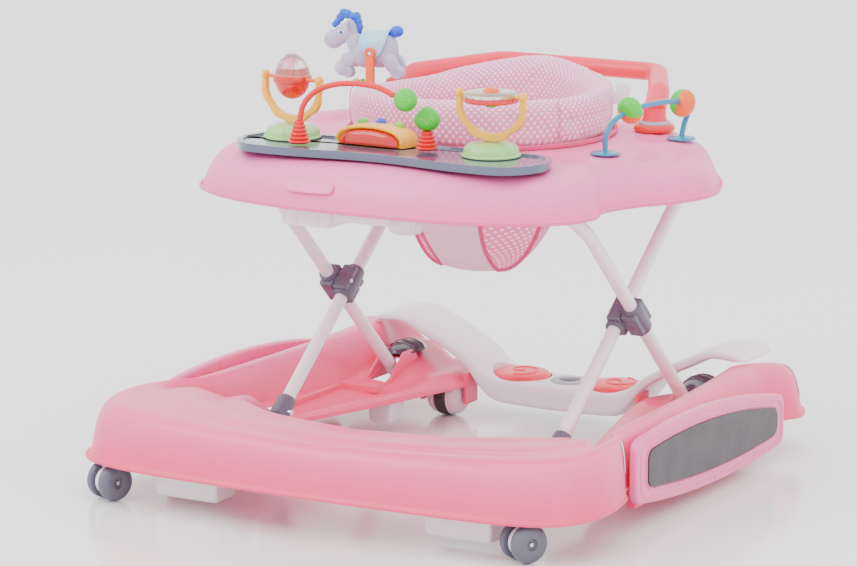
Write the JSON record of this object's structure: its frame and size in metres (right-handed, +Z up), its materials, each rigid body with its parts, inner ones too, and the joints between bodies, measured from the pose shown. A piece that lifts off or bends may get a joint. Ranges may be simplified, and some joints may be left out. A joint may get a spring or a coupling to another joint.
{
  "type": "baby walker",
  "caption": "Fold-flat scissor-frame baby walker with toy tray, padded ring seat, push handle, swivel casters, rear rollers and fold-down rocker panels.",
  "frame": {"origin": "floor level under the middle of the bounding box", "axes": "+Z up, front of the walker faces -Y, +X is the right side seen from the front view along +Y"},
  "size_m": [0.66, 0.6952, 0.515],
  "materials": {
    "base_pink": "satin",
    "tray_pink": "fine grained",
    "panel_pink": "satin",
    "coral": "satin",
    "white_plastic": "satin",
    "white_paint": "gloss",
    "grey_plastic": "satin",
    "rubber": "matte",
    "slate_gloss": "gloss",
    "mint": "translucent gloss",
    "yellow": "gloss",
    "red": "satin",
    "orange": "gloss",
    "green": "satin",
    "teal": "gloss",
    "blue": "satin",
    "horse_grey": "satin",
    "fabric_pink": "woven, white dots",
    "sling_pink": "woven"
  },
  "bodies": {
    "base": {"base_shell": "base_pink", "footboard": "white_plastic", "stopper_front_left": "white_plastic", "stopper_front_right": "white_plastic", "stopper_rear_left": "white_plastic", "stopper_rear_right": "white_plastic"},
    "outer_frame": {"outer_frame_tube": "white_paint", "cross_clamp_left_outer": "grey_plastic", "cross_clamp_right_outer": "grey_plastic"},
    "inner_frame": {"front_shoe_left": "grey_plastic", "front_shoe_right": "grey_plastic", "inner_frame_tube": "white_paint", "cross_clamp_left_inner": "grey_plastic", "cross_clamp_right_inner": "grey_plastic"},
    "tray": {"tray_shell": "tray_pink", "toy_panel": "slate_gloss", "seat_cushion": "fabric_pink", "seat_sling": "sling_pink", "height_latch_housing": "white_plastic", "handle_bar": "coral", "handle_base_left": "red", "handle_base_right": "red", "horse_post": "orange", "bead_wire": "teal", "music_box": "yellow"},
    "toy_turn_left": {"toy_base_left": "mint", "toy_bracket_left": "yellow"},
    "toy_turn_right": {"toy_base_right": "mint", "toy_bracket_right": "yellow"},
    "egg": {"egg_rattle": "orange"},
    "disc": {"spinner_disc": "red"},
    "stalk": {"stalk": "red", "stalk_ball": "green"},
    "berry": {"berry_stem": "red", "berry": "green"},
    "horse": {"horse": "horse_grey"},
    "bead_front": {"bead_front": "green"},
    "bead_rear": {"bead_rear": "green"},
    "key_green": {"music_key_green": "green"},
    "key_blue": {"music_key_blue": "blue"},
    "key_lime": {"music_key_lime": "green"},
    "lily_left": {"lily_pad_left": "coral"},
    "lily_right": {"lily_pad_right": "coral"},
    "music_button": {"music_button": "grey_plastic"},
    "lever_left": {"lock_lever_left": "slate_gloss"},
    "lever_right": {"lock_lever_right": "slate_gloss"},
    "rocker_left": {"rocker_panel_left": "panel_pink", "rocker_pad_left": "rubber"},
    "rocker_right": {"rocker_panel_right": "panel_pink", "rocker_pad_right": "rubber"},
    "roller_left": {"rear_hub_left": "white_plastic", "rear_tyre_left": "rubber"},
    "roller_right": {"rear_hub_right": "white_plastic", "rear_tyre_right": "rubber"},
    "caster_left": {"caster_fork_left": "white_plastic"},
    "caster_right": {"caster_fork_right": "white_plastic"},
    "caster_wheel_left_outer": {"caster_wheel_left_outer": "grey_plastic"},
    "caster_wheel_left_inner": {"caster_wheel_left_inner": "grey_plastic"},
    "caster_wheel_right_outer": {"caster_wheel_right_outer": "grey_plastic"},
    "caster_wheel_right_inner": {"caster_wheel_right_inner": "grey_plastic"}
  },
  "joints": [
    {"name": "frame_fold", "type": "hinge", "parent": "base", "child": "outer_frame", "pos_m": [0, 0.21137, 0.05507], "axis": [1, 0, 0], "range_deg": [0, 20]},
    {"name": "frame_cross", "type": "hinge", "parent": "outer_frame", "child": "inner_frame", "pos_m": [0, 0.0675, 0.194], "axis": [1, 0, 0], "range_deg": [-40, 0]},
    {"name": "tray_level", "type": "hinge", "parent": "inner_frame", "child": "tray", "pos_m": [0, 0.268, 0.35636], "axis": [1, 0, 0], "range_deg": [0, 20]},
    {"name": "toy_turn_left", "type": "hinge", "parent": "tray", "child": "toy_turn_left", "pos_m": [-0.14, -0.128, 0.404], "axis": [0, 0, 1], "continuous": true},
    {"name": "toy_turn_right", "type": "hinge", "parent": "tray", "child": "toy_turn_right", "pos_m": [0.12, -0.128, 0.404], "axis": [0, 0, 1], "continuous": true},
    {"name": "egg_spin", "type": "hinge", "parent": "toy_turn_left", "child": "egg", "pos_m": [-0.14, -0.128, 0.472], "axis": [0.9877, -0.1564, 0], "continuous": true},
    {"name": "disc_spin", "type": "hinge", "parent": "toy_turn_right", "child": "disc", "pos_m": [0.12, -0.128, 0.472], "axis": [1, 0, 0], "continuous": true},
    {"name": "stalk_sway", "type": "hinge", "parent": "tray", "child": "stalk", "pos_m": [-0.104, -0.172, 0.4064], "axis": [1, 0, 0], "range_deg": [-6, 6], "stiffness_Nm_per_rad": 0.25},
    {"name": "berry_sway", "type": "hinge", "parent": "tray", "child": "berry", "pos_m": [0.044, -0.139, 0.4064], "axis": [0, 1, 0], "range_deg": [-8, 8], "stiffness_Nm_per_rad": 0.2},
    {"name": "horse_rock", "type": "hinge", "parent": "tray", "child": "horse", "pos_m": [-0.184, 0.1355, 0.467], "axis": [0, 1, 0], "range_deg": [-15, 15]},
    {"name": "key_green_press", "type": "slide", "parent": "tray", "child": "key_green", "axis": [0, 0, 1], "range_m": [-0.0018, 0], "stiffness_N_per_m": 300},
    {"name": "key_blue_press", "type": "slide", "parent": "tray", "child": "key_blue", "axis": [0, 0, 1], "range_m": [-0.0018, 0], "stiffness_N_per_m": 300},
    {"name": "key_lime_press", "type": "slide", "parent": "tray", "child": "key_lime", "axis": [0, 0, 1], "range_m": [-0.0018, 0], "stiffness_N_per_m": 300},
    {"name": "lily_left_press", "type": "slide", "parent": "base", "child": "lily_left", "axis": [0, 0, 1], "range_m": [-0.003, 0], "stiffness_N_per_m": 600},
    {"name": "lily_right_press", "type": "slide", "parent": "base", "child": "lily_right", "axis": [0, 0, 1], "range_m": [-0.003, 0], "stiffness_N_per_m": 600},
    {"name": "music_button_press", "type": "slide", "parent": "base", "child": "music_button", "axis": [0, 0, 1], "range_m": [-0.003, 0], "stiffness_N_per_m": 600},
    {"name": "lever_left_lift", "type": "hinge", "parent": "base", "child": "lever_left", "pos_m": [-0.204, 0.207, 0.0785], "axis": [1, 0, 0], "range_deg": [0, 15]},
    {"name": "rocker_left_fold", "type": "hinge", "parent": "base", "child": "rocker_left", "pos_m": [-0.3015, 0.0515, 0.024], "axis": [0, -1, 0], "range_deg": [0, 180]},
    {"name": "roller_left_spin", "type": "hinge", "parent": "base", "child": "roller_left", "pos_m": [-0.15, 0.251, 0.026], "axis": [1, 0, 0], "continuous": true},
    {"name": "caster_left_swivel", "type": "hinge", "parent": "base", "child": "caster_left", "pos_m": [-0.27, -0.292, 0.0445], "axis": [0, 0, 1], "continuous": true},
    {"name": "caster_wheel_left_outer_roll", "type": "hinge", "parent": "caster_left", "child": "caster_wheel_left_outer", "pos_m": [-0.27674, -0.30869, 0.0215], "axis": [0.9272, -0.3746, 0], "continuous": true},
    {"name": "caster_wheel_left_inner_roll", "type": "hinge", "parent": "caster_left", "child": "caster_wheel_left_inner", "pos_m": [-0.27674, -0.30869, 0.0215], "axis": [0.9272, -0.3746, 0], "continuous": true},
    {"name": "lever_right_lift", "type": "hinge", "parent": "base", "child": "lever_right", "pos_m": [0.204, 0.207, 0.0785], "axis": [1, 0, 0], "range_deg": [0, 15]},
    {"name": "rocker_right_fold", "type": "hinge", "parent": "base", "child": "rocker_right", "pos_m": [0.3015, 0.0515, 0.024], "axis": [0, 1, 0], "range_deg": [0, 180]},
    {"name": "roller_right_spin", "type": "hinge", "parent": "base", "child": "roller_right", "pos_m": [0.15, 0.251, 0.026], "axis": [1, 0, 0], "continuous": true},
    {"name": "caster_right_swivel", "type": "hinge", "parent": "base", "child": "caster_right", "pos_m": [0.27, -0.292, 0.0445], "axis": [0, 0, 1], "continuous": true},
    {"name": "caster_wheel_right_outer_roll", "type": "hinge", "parent": "caster_right", "child": "caster_wheel_right_outer", "pos_m": [0.261, -0.30759, 0.0215], "axis": [0.866, -0.5, 0], "continuous": true},
    {"name": "caster_wheel_right_inner_roll", "type": "hinge", "parent": "caster_right", "child": "caster_wheel_right_inner", "pos_m": [0.261, -0.30759, 0.0215], "axis": [0.866, -0.5, 0], "continuous": true},
    {"name": "bead_front_turn", "type": "hinge", "parent": "tray", "child": "bead_front", "pos_m": [0.217, 0.02, 0.442], "axis": [0.3576, 0.905, 0.2303], "continuous": true},
    {"name": "bead_rear_turn", "type": "hinge", "parent": "tray", "child": "bead_rear", "pos_m": [0.24, 0.108, 0.441], "axis": [0.1149, 0.9512, -0.2862], "continuous": true}
  ],
  "couplings": [
    {"joint": "frame_cross", "follows": "frame_fold", "ratio": -2},
    {"joint": "tray_level", "follows": "frame_fold", "ratio": 1}
  ]
}
